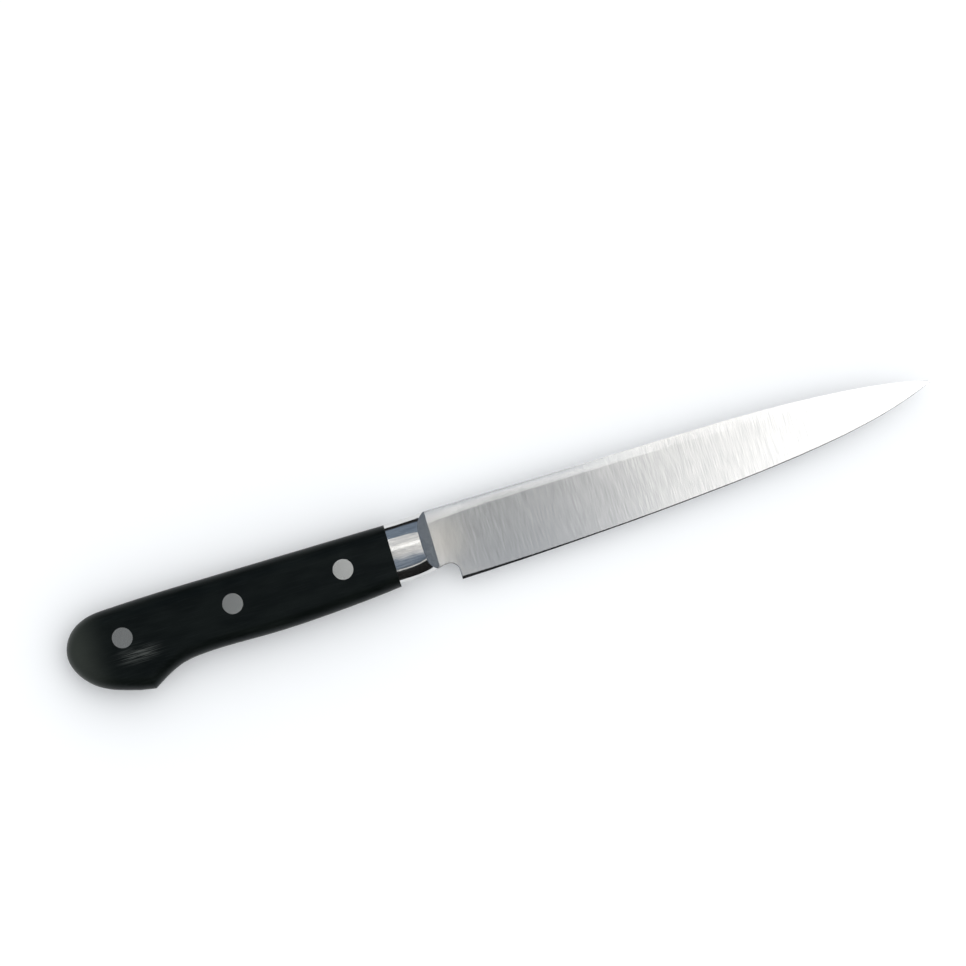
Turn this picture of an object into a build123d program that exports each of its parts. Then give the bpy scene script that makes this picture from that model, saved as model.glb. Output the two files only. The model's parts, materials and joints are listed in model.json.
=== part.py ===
from build123d import *
import os
from math import exp

# A 150 mm utility knife: full tang, welded bolster halves, riveted scales with a hooked butt.
# It lies on the left side of its handle. +X points to the tip, +Y to the spine, +Z up.
# Profiles are drawn from the junction of handle and bolster, on the handle's centre line:
# x towards the tip, y towards the spine. All sizes are in millimetres.

# Handle
handle_length = 101.0
grip_thickness = 12.6
top_height = 9.4
belly_depth = 9.6
hook_x = -78.2
hook_depth = 17.85
grip_edge_radius = 4.5
butt_round_start = -86.0
butt_half_thickness = 3.6

# Bolster
bolster_length = 12.6
bolster_top = 9.6
bolster_bottom = -8.75
bolster_front_top = 9.9
bolster_front_bottom = -7.4
bolster_taper = 0.075
bolster_corner = 4.7
bolster_front_corner = 8.0
bolster_wall = 1.8
bolster_front_wall = 1.1
corner_fullness = 0.55
front_corner_fullness = 0.4
corner_growth = 6
crown_y = 2.0
crown_radius = 56.0
facet_slope = 1.35

# Blade
blade_thickness = 1.9
heel_x = 18.0
blade_length = 150.0
heel_depth = 12.6
tip_height = 4.4
spine_height = 9.95
highest_spine = 10.37
spine_rise = 0.0055
point_start = 100.0
spine_band = 2.7
spine_band_extra = 1.2
spine_band_fade = 12.0
spine_slope = 0.068
face_slope = 0.042
choil_top = -7.0
choil_radius = 2.8
choil_softening = 0.25
choil_clearance = 2.0
bevel_heel = 0.9
bevel_far = 0.3
bevel_fade = 25.0
bevel_thinning = 0.6
bevel_slope = 0.32
tallest_bevel = 0.2  # shares of the blade's height, which only matter near the point
widest_spine_band = 0.4
ricasso_fade = 18.0

# Rivets
rivet_pitch = 34.2
rivet_front_x = -15.15
rivet_front_y = 0.27
rivet_drop = 0.44
head_diameter = 6.15
head_height = 2.0
barrel_diameter = 4.8
pin_diameter = 3.2
tang_hole_diameter = 5.0
end_gap = 0.4

# Places that follow from these
tip_x = heel_x + blade_length
half_grip = grip_thickness / 2
half_blade = blade_thickness / 2
junction_x = (handle_length - tip_x) / 2
axis_y = (hook_depth - highest_spine) / 2
side_view = Plane(origin=(junction_x, axis_y, half_grip), x_dir=(1, 0, 0), z_dir=(0, 0, 1))
plan_view = Plane(origin=(junction_x, axis_y, half_grip), x_dir=(1, 0, 0), z_dir=(0, -1, 0))
right_tang_face = side_view.offset(half_blade)
left_tang_face = side_view.offset(-half_blade)


def station(x):
    """The plane across the knife at x, with its own x towards the spine and y upwards."""
    origin = (junction_x + x, axis_y, half_grip)
    return Plane(origin=origin, x_dir=(0, 1, 0), z_dir=(1, 0, 0))


def rounded_corner(wall, crown, slope, fullness):
    """A rounded corner, upright at wall and falling by slope at crown. 0.55 gives an ellipse."""
    above_wall = (wall[0], wall[1] + fullness * (crown[1] - wall[1]))
    run = fullness * (wall[0] - crown[0])
    beside_crown = (crown[0] + run, crown[1] - slope * abs(run))
    Bezier(wall, above_wall, beside_crown, crown)


# ---- Handle form: the ground outer shape that the scales, tang and rivet heads share ----

with BuildSketch(side_view) as handle_outline:
    with BuildLine():
        Line((0, -belly_depth), (0, top_height))
        Spline((0, top_height), (-45, 9.4), (-83, 9.0), tangents=[(-1, 0.006), (-1, -0.04)])
        Spline(
            (-83, 9.0),
            (-92.0, 8.25),
            (-97.7, 5.3),
            (-handle_length, -2.2),
            (-98.3, -8.9),
            (-91.5, -14.2),
            (-84.0, -16.7),
            (hook_x, -hook_depth),
            tangents=[(-1, -0.04), (1, -0.16)],
        )
        Spline(
            (hook_x, -hook_depth),
            (-73.3, -15.0),
            (-68.2, -12.85),
            (-62.3, -11.95),
            (-41.5, -11.95),
            (-20.0, -11.25),
            (0, -belly_depth),
        )
    make_face()

with BuildPart() as handle_form:
    add(extrude(handle_outline.sketch, amount=half_grip, both=True))
    with BuildSketch(plan_view):
        with BuildLine():
            butt_end = (-handle_length - 0.5, butt_half_thickness)
            Line((0, 0), (0, half_grip))
            Line((0, half_grip), (butt_round_start, half_grip))
            TangentArc((butt_round_start, half_grip), butt_end, tangent=(-1, 0))
            Line(butt_end, (butt_end[0], 0))
            mirror(about=Plane.XZ)
        make_face()
    extrude(amount=handle_length, both=True, mode=Mode.INTERSECT)
    outer_faces = handle_form.faces().filter_by(
        lambda face: abs(face.center().Z - half_grip) > half_grip / 2
    )
    outer_edges = outer_faces.edges().filter_by(GeomType.LINE, reverse=True)
    fillet(outer_edges, radius=grip_edge_radius)


# ---- Blade and tang, in one piece from tip to butt ----


def spine_at(x):
    """Height of the spine: a long straight rise, then the drop to the point."""
    rise = spine_height + spine_rise * (x - heel_x)
    drop = spine_height + spine_rise * blade_length - tip_height
    reach = max(0, (x - point_start) / (tip_x - point_start))
    return rise - drop * (0.73 * reach**2 + 0.27 * reach**6)


def edge_at(x):
    """Height of the cutting edge: nearly straight at the heel, curving up to the point."""
    reach = max(0, (x - heel_x) / blade_length)
    climb = heel_depth + tip_height
    return climb * (0.208 * reach + 0.448 * reach**2 + 0.344 * reach**8) - heel_depth


def half_thickness_at(x):
    """Half the thickness just below the rounded spine, tapering towards the point."""
    reach = (x - bolster_length) / (tip_x - bolster_length)
    return half_blade * (1 - 0.35 * reach - 0.5 * reach**5)


def bevel_height_at(x):
    """Height of the sharpened band: tallest at the heel, then slowly thinning to the point."""
    tall = bevel_far + (bevel_heel - bevel_far) * exp((heel_x - x) / bevel_fade)
    reach = max(0, (x - heel_x) / blade_length)
    tall = tall * (1 - bevel_thinning * reach**2)
    return min(tall, tallest_bevel * (spine_at(x) - edge_at(x)))


def shoulder_half_at(x):
    """Half the thickness above the sharpened band: full at the ricasso, thin from there on."""
    ricasso = max(0, 1 - (x - bolster_length) / ricasso_fade) ** 3
    thin = bevel_slope * bevel_height_at(x)
    return thin + ricasso * (half_thickness_at(x) - thin)


def spine_band_at(x):
    """Width of the band along the spine where the sides roll over, widest beside the bolster."""
    wide = spine_band + spine_band_extra * exp((bolster_length - x) / spine_band_fade)
    return min(wide, widest_spine_band * (spine_at(x) - edge_at(x)))


def blade_section(x):
    """Draws the closed section at x: sharpened band, flat-ground sides and a rolled-over spine."""
    spine, edge = spine_at(x), edge_at(x)
    shoulder = edge + bevel_height_at(x)
    ground = spine - spine_band_at(x)
    middle = (spine + ground) / 2
    thin = shoulder_half_at(x)
    crest = min(half_thickness_at(x), thin + face_slope * (middle - shoulder))
    half = thin + (crest - thin) * (ground - shoulder) / (middle - shoulder)
    eased = crest - spine_slope * (spine - middle)
    Line((edge, 0), (shoulder, thin))
    Line((shoulder, thin), (ground, half))
    Bezier((spine, eased), (middle, crest), (ground, half))
    Line((spine, eased), (spine, -eased))
    Bezier((spine, -eased), (middle, -crest), (ground, -half))
    Line((shoulder, -thin), (ground, -half))
    Line((edge, 0), (shoulder, -thin))


blade_stations = (bolster_length, 18, 24, 32, 48, 66, 84, 100, 114, 127, 139, 149, 157, 163, 167.8)
bolster_stations = (0, 4, 7.5, 10.3, bolster_length)


def bolster_high_at(x):
    """Height of the bolster's top, which lifts a little towards the blade."""
    return bolster_top + (bolster_front_top - bolster_top) * (x / bolster_length) ** 3


def bolster_low_at(x):
    """Height of the bolster's underside, which lifts towards the blade."""
    return bolster_bottom + (bolster_front_bottom - bolster_bottom) * (x / bolster_length) ** 3


rivet_places = [
    (rivet_front_x - i * rivet_pitch, rivet_front_y - i * rivet_drop) for i in range(3)
]

with BuildPart() as tang:
    add(handle_form.part)
    split(bisect_by=right_tang_face, keep=Keep.BOTTOM)
    split(bisect_by=left_tang_face, keep=Keep.TOP)

with BuildPart() as blade_and_tang:
    for x in blade_stations:
        with BuildSketch(station(x)):
            with BuildLine():
                blade_section(x)
            make_face()
    loft()
    with BuildSketch(side_view):
        with BuildLine():
            choil_start = (bolster_length, bolster_front_bottom)
            choil_peak = (heel_x - choil_radius, choil_top)
            heel_wall = (heel_x, choil_top - choil_radius)
            Spline(choil_start, choil_peak, tangents=[(1, 0.3), (1, 0)])
            TangentArc(choil_peak, heel_wall, tangent=(1, 0))
            below_heel = -heel_depth - choil_clearance
            Polyline(heel_wall, (heel_x, below_heel), (bolster_length, below_heel), choil_start)
        make_face()
    extrude(amount=half_grip, both=True, mode=Mode.SUBTRACT)
    choil_rims = blade_and_tang.edges(Select.LAST).filter_by(
        lambda edge: edge.geom_type != GeomType.LINE
        and junction_x + bolster_length < edge.center().X < junction_x + heel_x + choil_softening
        and abs(edge.center().Z - half_grip) > half_blade / 3
        and edge.length < choil_radius * 2
    )
    fillet(choil_rims, radius=choil_softening)
    with BuildSketch(side_view):
        with BuildLine():
            Line((0, bolster_bottom), (0, bolster_top))
            Spline(*[(x, bolster_high_at(x)) for x in bolster_stations])
            Line((bolster_length, bolster_front_top), (bolster_length, bolster_front_bottom))
            Spline(*[(x, bolster_low_at(x)) for x in bolster_stations])
        make_face()
    extrude(amount=half_blade, both=True)
    add(tang.part)
    with BuildSketch(side_view):
        with Locations(*rivet_places):
            Circle(tang_hole_diameter / 2)
    extrude(amount=half_blade, both=True, mode=Mode.SUBTRACT)


# ---- Bolster halves: rounded blocks welded to the tang, cut off at a slant before the blade ----


def bolster_section(x):
    """Draws half of the bolster's section at x: a low crown between corners that round off in front."""
    reach = x / bolster_length
    low, high = bolster_low_at(x), bolster_high_at(x)
    growth = reach**corner_growth
    corner = bolster_corner + (bolster_front_corner - bolster_corner) * growth
    wall = bolster_wall + (bolster_front_wall - bolster_wall) * reach
    fullness = corner_fullness + (front_corner_fullness - corner_fullness) * growth
    top = half_grip - bolster_taper * x
    across = (high - corner, (high + low) / 2, low + corner)
    crown = [(y, top - (y - crown_y) ** 2 / (2 * crown_radius)) for y in across]
    upper_slope = (high - corner - crown_y) / crown_radius
    lower_slope = (crown_y - low - corner) / crown_radius
    Line((low, half_blade), (high, half_blade))
    Line((high, half_blade), (high, wall))
    rounded_corner((high, wall), crown[0], upper_slope, fullness)
    ThreePointArc(*crown)
    rounded_corner((low, wall), crown[-1], lower_slope, fullness)
    Line((low, half_blade), (low, wall))


with BuildPart() as bolster_right:
    for x in bolster_stations:
        with BuildSketch(station(x)):
            with BuildLine():
                bolster_section(x)
            make_face()
    loft()
    nose = (junction_x + bolster_length, axis_y, half_grip + half_blade)
    facet = Plane(origin=nose, x_dir=(0, 1, 0), z_dir=(facet_slope, 0, 1))
    split(bisect_by=facet, keep=Keep.BOTTOM)

with BuildPart() as bolster_left:
    mirror(bolster_right.part, about=side_view)


# ---- Handle scales, with counterbored holes for the rivets ----

with BuildPart() as handle_scale_right:
    add(handle_form.part)
    split(bisect_by=right_tang_face, keep=Keep.TOP)
    with Locations(*[(junction_x + x, axis_y + y, grip_thickness) for x, y in rivet_places]):
        CounterBoreHole(barrel_diameter / 2, head_diameter / 2, head_height, grip_thickness)

with BuildPart() as handle_scale_left:
    mirror(handle_scale_right.part, about=side_view)


# ---- Rivets: a tubular female half from the left, a solid male half pressed in from the right ----

rivets = {}
for place, (x, y) in zip(("front", "middle", "rear"), rivet_places):
    barrel_end = grip_thickness - head_height - end_gap
    pin_end = head_height + end_gap
    with BuildPart() as female:
        with Locations((junction_x + x, axis_y + y, 0)):
            base = (Align.CENTER, Align.CENTER, Align.MIN)
            Cylinder(head_diameter / 2, head_height, align=base)
            Cylinder(barrel_diameter / 2, barrel_end, align=base)
        with Locations((junction_x + x, axis_y + y, head_height)):
            Cylinder(pin_diameter / 2, grip_thickness, align=base, mode=Mode.SUBTRACT)
        add(handle_form.part, mode=Mode.INTERSECT)
    with BuildPart() as male:
        with Locations((junction_x + x, axis_y + y, grip_thickness)):
            top = (Align.CENTER, Align.CENTER, Align.MAX)
            Cylinder(head_diameter / 2, head_height, align=top)
            Cylinder(pin_diameter / 2, grip_thickness - pin_end, align=top)
        add(handle_form.part, mode=Mode.INTERSECT)
    rivets[f"rivet_{place}_female"] = female.part
    rivets[f"rivet_{place}_male"] = male.part


# ---- Files, one for each piece ----

pieces = {
    "blade_and_tang": blade_and_tang.part,
    "bolster_right": bolster_right.part,
    "bolster_left": bolster_left.part,
    "handle_scale_right": handle_scale_right.part,
    "handle_scale_left": handle_scale_left.part,
    **rivets,
}
os.makedirs("parts", exist_ok=True)
for name, piece in pieces.items():
    piece.label = name
    export_step(piece, f"parts/{name}.step")
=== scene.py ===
import json
import math
import bpy
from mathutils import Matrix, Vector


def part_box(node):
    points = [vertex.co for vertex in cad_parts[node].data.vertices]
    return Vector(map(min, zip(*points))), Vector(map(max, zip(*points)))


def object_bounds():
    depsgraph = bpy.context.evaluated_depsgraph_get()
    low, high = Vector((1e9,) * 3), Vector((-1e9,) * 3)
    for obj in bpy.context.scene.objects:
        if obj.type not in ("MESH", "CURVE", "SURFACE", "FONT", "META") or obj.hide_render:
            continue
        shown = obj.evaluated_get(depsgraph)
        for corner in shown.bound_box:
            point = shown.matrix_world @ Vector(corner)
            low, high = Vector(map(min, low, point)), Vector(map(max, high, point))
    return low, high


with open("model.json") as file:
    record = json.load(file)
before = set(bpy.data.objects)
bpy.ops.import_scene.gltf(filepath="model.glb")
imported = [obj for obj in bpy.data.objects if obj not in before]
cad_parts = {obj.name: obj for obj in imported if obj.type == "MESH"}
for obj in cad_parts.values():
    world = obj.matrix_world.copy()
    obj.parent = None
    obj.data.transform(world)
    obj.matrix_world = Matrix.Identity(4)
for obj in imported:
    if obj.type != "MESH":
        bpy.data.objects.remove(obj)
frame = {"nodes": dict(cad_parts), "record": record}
cad_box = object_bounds()
nodes = frame["nodes"]
scene = bpy.context.scene
MM = 0.001

# Places that several sections use, in metres, from the CAD frame
low, high = cad_box
grip_top = high.z
mid_z = grip_top / 2
junction_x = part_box("handle_scale_right")[1].x
butt_x = low.x
facet_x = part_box("bolster_right")[1].x
handle_top = 9.4 * MM  # the handle's upper edge, above its centre line
axis_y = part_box("handle_scale_right")[1].y - handle_top


# ---- Small helpers for node trees ----


class Tree:
    """Builds a node tree with short calls."""

    def __init__(self, tree):
        self.tree = tree

    def node(self, kind, **settings):
        made = self.tree.nodes.new(kind)
        for key, value in settings.items():
            setattr(made, key, value)
        return made

    def put(self, socket, value):
        if isinstance(value, bpy.types.NodeSocket):
            self.tree.links.new(value, socket)
        else:
            socket.default_value = value

    def math(self, operation, a, b=0.0, c=0.0):
        made = self.node("ShaderNodeMath", operation=operation)
        for socket, value in zip(made.inputs, (a, b, c)):
            self.put(socket, value)
        return made.outputs[0]

    def split(self, vector):
        made = self.node("ShaderNodeSeparateXYZ")
        self.put(made.inputs[0], vector)
        return made.outputs

    def ramp(self, value, start, end, low=0.0, high=1.0):
        """value from start to end becomes low to high, with soft ends."""
        made = self.node("ShaderNodeMapRange", interpolation_type="SMOOTHERSTEP")
        for socket, number in zip(made.inputs, (value, start, end, low, high)):
            self.put(socket, number)
        return made.outputs[0]

    def window(self, value, rise_from, rise_to, fall_from, fall_to):
        """One between rise_to and fall_from, zero outside, with soft ends."""
        rise = self.ramp(value, rise_from, rise_to)
        fall = self.ramp(value, fall_to, fall_from)
        return self.math("MULTIPLY", rise, fall)

    def noise(self, place, stretch, detail=3.0, roughness=0.5):
        """Noise whose grain size is one over stretch, in metres, along each axis."""
        mapping = self.node("ShaderNodeMapping")
        self.put(mapping.inputs["Vector"], place)
        mapping.inputs["Scale"].default_value = stretch
        made = self.node("ShaderNodeTexNoise", noise_dimensions="3D")
        self.put(made.inputs["Vector"], mapping.outputs[0])
        made.inputs["Scale"].default_value = 1.0
        made.inputs["Detail"].default_value = detail
        made.inputs["Roughness"].default_value = roughness
        return made.outputs["Fac"]

    def spot(self, place, centre, reach):
        """One at centre, falling to zero on the ellipsoid with half axes reach."""
        mapping = self.node("ShaderNodeMapping")
        self.put(mapping.inputs["Vector"], place)
        mapping.inputs["Scale"].default_value = [1 / r for r in reach]
        mapping.inputs["Location"].default_value = [-c / r for c, r in zip(centre, reach)]
        length = self.node("ShaderNodeVectorMath", operation="LENGTH")
        self.put(length.inputs[0], mapping.outputs[0])
        return self.ramp(length.outputs["Value"], 1.0, 0.0)

    def tangent(self, shader, x, y):
        """Sets the direction across the brush lines."""
        way = self.node("ShaderNodeCombineXYZ")
        way.inputs[0].default_value = x
        way.inputs[1].default_value = y
        self.put(shader.inputs["Tangent"], way.outputs[0])

    def blend(self, share, first, second):
        """Mixes two colours."""
        made = self.node("ShaderNodeMix", data_type="RGBA", blend_type="MIX")
        self.put(made.inputs[0], share)
        self.put(made.inputs[6], first)
        self.put(made.inputs[7], second)
        return made.outputs[2]

    def bump(self, height, distance):
        """The normal of a surface that rises by distance where height is one."""
        made = self.node("ShaderNodeBump")
        made.inputs["Strength"].default_value = 1.0
        made.inputs["Distance"].default_value = distance
        self.put(made.inputs["Height"], height)
        return made.outputs[0]


def material(name):
    """A new material: its Tree, its Principled shader and the place on the object, in metres."""
    made = bpy.data.materials.new(name)
    made.use_nodes = True
    tree = Tree(made.node_tree)
    shader = made.node_tree.nodes["Principled BSDF"]
    place = tree.node("ShaderNodeTexCoord").outputs["Object"]
    return made, tree, shader, place


# ---- Camera: straight above, rolled so that the knife lies rising to the right ----

roll = math.radians(16.5)
frame_width = 286.5 * MM
camera_height = 3.0
camera_x = junction_x + 31.84 * MM
camera_y = axis_y + 12.99 * MM
camera_data = bpy.data.cameras.new("camera")
camera_data.sensor_width = 36.0
camera_data.lens = camera_data.sensor_width * (camera_height - mid_z) / frame_width
camera = bpy.data.objects.new("camera", camera_data)
camera.location = (camera_x, camera_y, camera_height)
camera.rotation_euler = (0, 0, -roll)
scene.collection.objects.link(camera)
scene.camera = camera


# ---- Floor and light ----

floor_size = 4.0
bpy.ops.mesh.primitive_plane_add(size=floor_size, location=(0, 0, 0))
floor = bpy.context.object
floor.name = "floor"
floor_material, _, shader, _ = material("floor_white")
shader.inputs["Base Color"].default_value = (0.88, 0.89, 0.9, 1)
shader.inputs["Roughness"].default_value = 0.9
shader.inputs["Specular IOR Level"].default_value = 0.0
floor.data.materials.append(floor_material)


def studio_world():
    """A soft studio as a world.

    Diffuse surfaces see a white dome, brighter beyond the tip. Gloss sees a room: blue-grey walls,
    a narrow strip light low on the edge's side, and dark gaps.
    """
    dome_dim = (0.64, 0.655, 0.67, 1)
    dome_bright = (1.72, 1.73, 1.74, 1)
    gap_dark = (0.012, 0.012, 0.012, 1)
    wall_grey = (0.2, 0.25, 0.32, 1)
    strip_white = (1.1, 1.09, 1.05, 1)
    backdrop = (0.95, 0.955, 0.96, 1)
    world = bpy.data.worlds.new("studio")
    world.use_nodes = True
    tree = Tree(world.node_tree)
    x, y, z = tree.split(tree.node("ShaderNodeTexCoord").outputs["Generated"])

    # The walls and the strip go by the angle from straight up, positive towards the spine
    lean = tree.math("ARCTAN2", y, z)
    strip = tree.window(lean, -0.47, -0.43, -0.40, -0.36)
    wall = tree.window(lean, -0.55, -0.4, 1.05, 1.25)
    wall = tree.math("MULTIPLY", wall, tree.ramp(lean, -0.4, -0.1, 0.5, 1.0))
    ends = tree.ramp(tree.math("ABSOLUTE", x), 0.5, 0.8)
    wall = tree.math("MAXIMUM", wall, ends)
    room = tree.blend(wall, gap_dark, wall_grey)
    room = tree.blend(strip, room, strip_white)

    side = tree.math("MULTIPLY_ADD", y, 0.4, x)
    dome = tree.blend(tree.ramp(side, -1.0, 1.0), dome_dim, dome_bright)
    path = tree.node("ShaderNodeLightPath")
    seen = tree.blend(path.outputs["Is Glossy Ray"], dome, room)
    seen = tree.blend(path.outputs["Is Camera Ray"], seen, backdrop)
    tree.put(world.node_tree.nodes["Background"].inputs["Color"], seen)
    scene.world = world


def softbox_glow(tree, x, y, bolster_patch, shift):
    """How bright the softbox is at x and y, in metres: the sum of what each piece reflects."""
    grind_slant = -1.2
    rivet_glow = 0.7
    handle_glow = -1.55
    tip_start = 0.062
    tip_glow = 18.0
    bolster_glow = 0.55
    line_glow = 3.0
    stripe_glow = 3.6
    stripe_glow_at_tip = 0.3
    stripe_glow_lost_at_bolster = -3.3

    # The rivets and the heel reflect a soft spot, and the rear of the handle a faint rise
    along = tree.math("MULTIPLY_ADD", y, grind_slant, x)
    spot = tree.math("MULTIPLY", tree.window(along, -0.077, -0.063, -0.045, -0.02), rivet_glow)
    glow = tree.math("MULTIPLY_ADD", tree.math("MINIMUM", x, 0.0), handle_glow, spot)

    # The blade's sides reflect a steady rise towards the tip
    beyond = tree.math("MULTIPLY_ADD", tree.math("MINIMUM", y, -0.035), grind_slant, x)
    rise = tree.math("MAXIMUM", tree.math("SUBTRACT", beyond, tip_start), 0.0)
    glow = tree.math("MULTIPLY_ADD", rise, tip_glow, glow)

    # The bolster's crown reflects a patch with a thin bright line across it
    glow = tree.math("MULTIPLY_ADD", bolster_patch, bolster_glow, glow)
    line = tree.math("MULTIPLY", tree.window(y, -0.002, 0.001, 0.003, 0.006), bolster_patch)
    glow = tree.math("MULTIPLY_ADD", line, line_glow, glow)

    # The rolled-over spine reflects a stripe that weakens towards the tip
    inner = tree.math("ADD", y, shift)
    stripe = tree.math("MULTIPLY", tree.ramp(inner, 0.02, 0.062), tree.ramp(x, -0.042, -0.024))
    strength = tree.ramp(x, 0.02, 0.1, stripe_glow, stripe_glow_at_tip)
    strength = tree.math("MULTIPLY_ADD", bolster_patch, stripe_glow_lost_at_bolster, strength)
    glow = tree.math("ADD", tree.math("MULTIPLY", stripe, strength), glow)

    # The panel's far end fades out
    return tree.math("MULTIPLY", glow, tree.ramp(x, 0.42, 0.25))


def softbox():
    """The overhead light that gloss sees: a long panel that brightens towards the tip."""
    centre_x = 0.1
    height = 0.45
    length = 0.7
    width = 0.2
    warm_white = (1.0, 0.99, 0.97, 1)
    bpy.ops.mesh.primitive_plane_add(size=1.0, location=(centre_x, 0, height))
    panel = bpy.context.object
    panel.name = "softbox"
    panel.scale = (length, width, 1)
    panel.visible_camera = False
    panel.visible_diffuse = False
    panel.visible_shadow = False
    made = bpy.data.materials.new("softbox")
    made.use_nodes = True
    tree = Tree(made.node_tree)
    made.node_tree.nodes.remove(made.node_tree.nodes["Principled BSDF"])
    x, y, _ = tree.split(tree.node("ShaderNodeNewGeometry").outputs["Position"])
    bolster_patch = tree.window(x, 0.012, 0.024, 0.056, 0.068)

    # Above the heel and in the bolster's patch, the spine's side of the panel is pulled in
    pull = 0.034
    heel_pull = tree.ramp(x, -0.02, 0.012, pull, 0.0)
    shift = tree.math("MULTIPLY_ADD", bolster_patch, pull, heel_pull)
    glow = softbox_glow(tree, x, y, bolster_patch, shift)

    # The panel's borders, of which the one on the edge's side spreads towards the tip
    upper = tree.math("MULTIPLY_ADD", shift, 1.3, y)
    lower = tree.math("MULTIPLY_ADD", tree.math("MAXIMUM", x, 0.0), 0.5, y)
    band = tree.math("MULTIPLY", tree.ramp(upper, 0.09, 0.086), tree.ramp(lower, -0.044, -0.022))
    emission = tree.node("ShaderNodeEmission")
    emission.inputs["Color"].default_value = warm_white
    clear = tree.node("ShaderNodeBsdfTransparent")
    mix = tree.node("ShaderNodeMixShader")
    tree.put(emission.inputs["Strength"], glow)
    tree.put(mix.inputs[0], band)
    tree.put(mix.inputs[1], clear.outputs[0])
    tree.put(mix.inputs[2], emission.outputs[0])
    tree.put(made.node_tree.nodes["Material Output"].inputs["Surface"], mix.outputs[0])
    panel.data.materials.append(made)


studio_world()
softbox()
scene.view_settings.view_transform = "Standard"


# ---- Materials ----


def blade_steel():
    """Satin steel, brushed from spine to edge, with a warm ricasso and painted shade that darkens
    the base colour towards the heel.
    """
    made, tree, shader, place = material("blade_steel")
    fine = tree.noise(place, (6000, 150, 150), detail=2.0, roughness=0.6)
    medium = tree.noise(place, (2600, 100, 100), detail=1.0)
    broad = tree.noise(place, (90, 15, 15), detail=1.0)
    lines = tree.math("MULTIPLY_ADD", fine, 0.8, tree.math("MULTIPLY", medium, 0.2))
    grey = tree.blend(tree.ramp(lines, 0.3, 0.7), (0.53, 0.535, 0.54, 1), (0.68, 0.68, 0.675, 1))
    # Painted shade: the base colour darkens towards the heel, standing in for the dimmer
    # reflection there
    heel_shade_gone_x = facet_x + 85.9 * MM
    heel_shade_full_x = facet_x + 25.9 * MM
    painted_heel_shade = tree.ramp(tree.split(place)[0], heel_shade_gone_x, heel_shade_full_x, 0.0, 0.6)
    grey = tree.blend(painted_heel_shade, grey, (0.4, 0.41, 0.42, 1))
    grey = tree.blend(tree.ramp(broad, 0.3, 0.7, 0.0, 0.06), grey, (0.42, 0.43, 0.45, 1))
    warm = tree.spot(place, (facet_x + 2 * MM, axis_y, mid_z), (14 * MM, 12 * MM, 9 * MM))
    grey = tree.blend(tree.math("MULTIPLY", warm, 0.35), grey, (0.72, 0.69, 0.62, 1))
    shader.inputs["Metallic"].default_value = 1.0
    shader.inputs["Anisotropic"].default_value = 0.9
    tree.tangent(shader, 1, 0)
    tree.put(shader.inputs["Base Color"], grey)
    tree.put(shader.inputs["Roughness"], tree.ramp(lines, 0.3, 0.7, 0.19, 0.23))
    tree.put(shader.inputs["Normal"], tree.bump(lines, 0.0012 * MM))
    return made


def bolster_steel():
    """Polished steel with the fine lengthwise lines of a belt finish."""
    made, tree, shader, place = material("bolster_steel")
    fine = tree.noise(place, (40, 5000, 5000), detail=2.0)
    medium = tree.noise(place, (20, 1300, 1300), detail=2.0)
    lines = tree.math("MULTIPLY_ADD", fine, 0.5, tree.math("MULTIPLY", medium, 0.5))
    shader.inputs["Metallic"].default_value = 1.0
    shader.inputs["Anisotropic"].default_value = 0.3
    tree.tangent(shader, 0, 1)
    grey = tree.blend(tree.ramp(lines, 0.3, 0.7), (0.56, 0.565, 0.57, 1), (0.72, 0.715, 0.7, 1))
    tree.put(shader.inputs["Base Color"], grey)
    tree.put(shader.inputs["Roughness"], tree.ramp(lines, 0.3, 0.7, 0.06, 0.12))
    tree.put(shader.inputs["Normal"], tree.bump(lines, 0.005 * MM))
    return made


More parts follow.
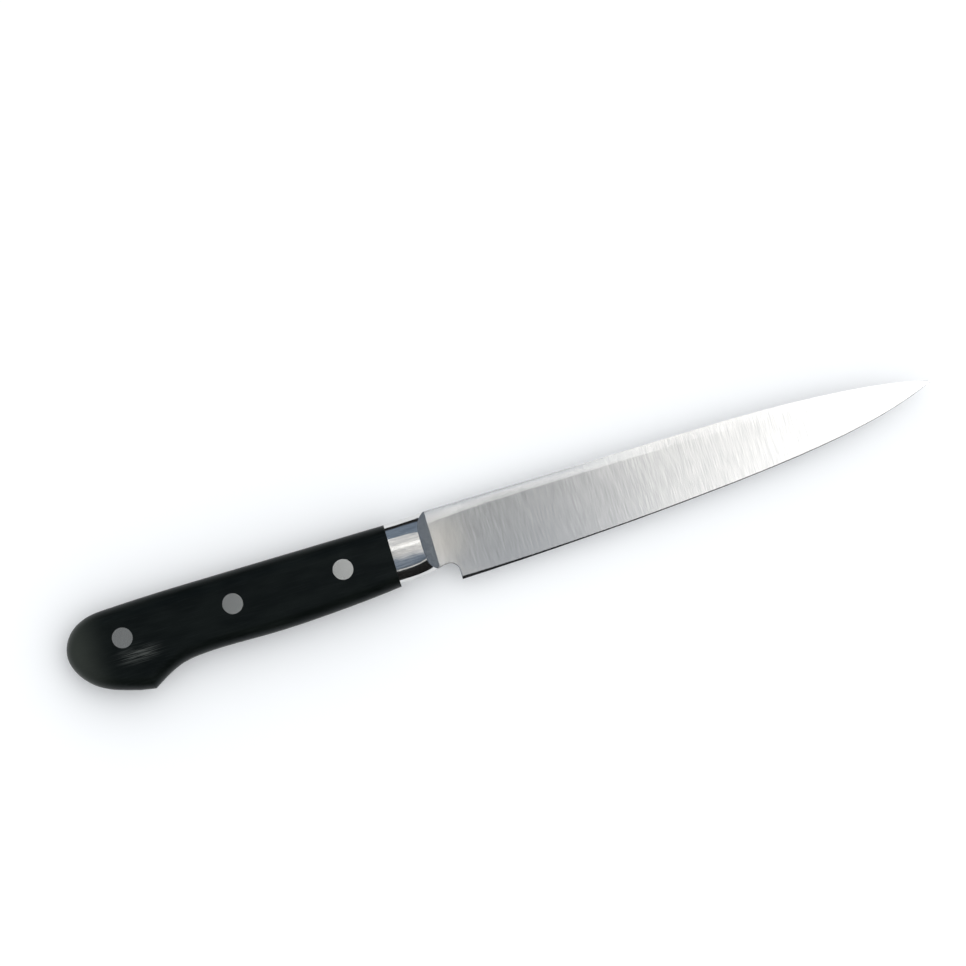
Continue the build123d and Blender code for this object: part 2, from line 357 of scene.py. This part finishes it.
def rivet_steel():
    """Turned rivet heads, satin and very finely scratched."""
    made, tree, shader, place = material("rivet_steel")
    scratches = tree.noise(place, (1500, 9000, 1500), detail=3.0)
    shader.inputs["Metallic"].default_value = 1.0
    grey = tree.blend(scratches, (0.56, 0.575, 0.565, 1), (0.62, 0.63, 0.615, 1))
    tree.put(shader.inputs["Base Color"], grey)
    tree.put(shader.inputs["Roughness"], tree.ramp(scratches, 0.3, 0.7, 0.16, 0.2))
    tree.put(shader.inputs["Normal"], tree.bump(scratches, 0.0002 * MM))
    return made


def handle_wood():
    """Black-stained laminated wood with a fine lengthwise grain, a painted glint near the butt and
    a painted sheen that lightens the butt.
    """
    made, tree, shader, place = material("handle_wood")
    grain = tree.noise(place, (120, 3500, 3500), detail=4.0, roughness=0.6)
    patches = tree.noise(place, (60, 160, 160), detail=3.0)
    darkest = (0.0016, 0.0028, 0.0022, 1)
    dark = (0.0036, 0.0052, 0.0042, 1)
    black = tree.blend(tree.ramp(patches, 0.35, 0.65), darkest, dark)
    black = tree.blend(tree.ramp(grain, 0.45, 0.75, 0.0, 0.5), black, (0.009, 0.0115, 0.0105, 1))
    # Painted highlight: a lighter streaky patch near the butt, on its lower side, stands in for a
    # glint of light
    painted_glint_centre = (butt_x + 21 * MM, axis_y - 6.5 * MM, grip_top)
    painted_glint = tree.spot(place, painted_glint_centre, (10 * MM, 4.2 * MM, 5 * MM))
    painted_glint = tree.math("MULTIPLY", painted_glint, tree.ramp(grain, 0.4, 0.62))
    black = tree.blend(tree.math("MULTIPLY", painted_glint, 0.8), black, (0.07, 0.075, 0.07, 1))
    # Painted sheen: the colour lightens towards the butt, standing in for light on its rounded end
    painted_butt_sheen = tree.ramp(tree.split(place)[0], butt_x + 16 * MM, butt_x - 2 * MM, 0.0, 0.8)
    black = tree.blend(painted_butt_sheen, black, (0.04, 0.045, 0.038, 1))
    shader.inputs["Specular IOR Level"].default_value = 0.12
    shader.inputs["Specular Tint"].default_value = (0.8, 0.9, 1.0, 1)
    tree.put(shader.inputs["Base Color"], black)
    tree.put(shader.inputs["Roughness"], tree.ramp(grain, 0.3, 0.7, 0.3, 0.42))
    tree.put(shader.inputs["Normal"], tree.bump(grain, 0.01 * MM))
    return made


finishes = {
    "blade_steel": blade_steel(),
    "bolster_steel": bolster_steel(),
    "rivet_steel": rivet_steel(),
    "handle_wood": handle_wood(),
}
for subpart in frame["record"]["subparts"]:
    shape = nodes[subpart["node"]]
    shape.data.materials.clear()
    shape.data.materials.append(finishes[subpart["material_slot"]])
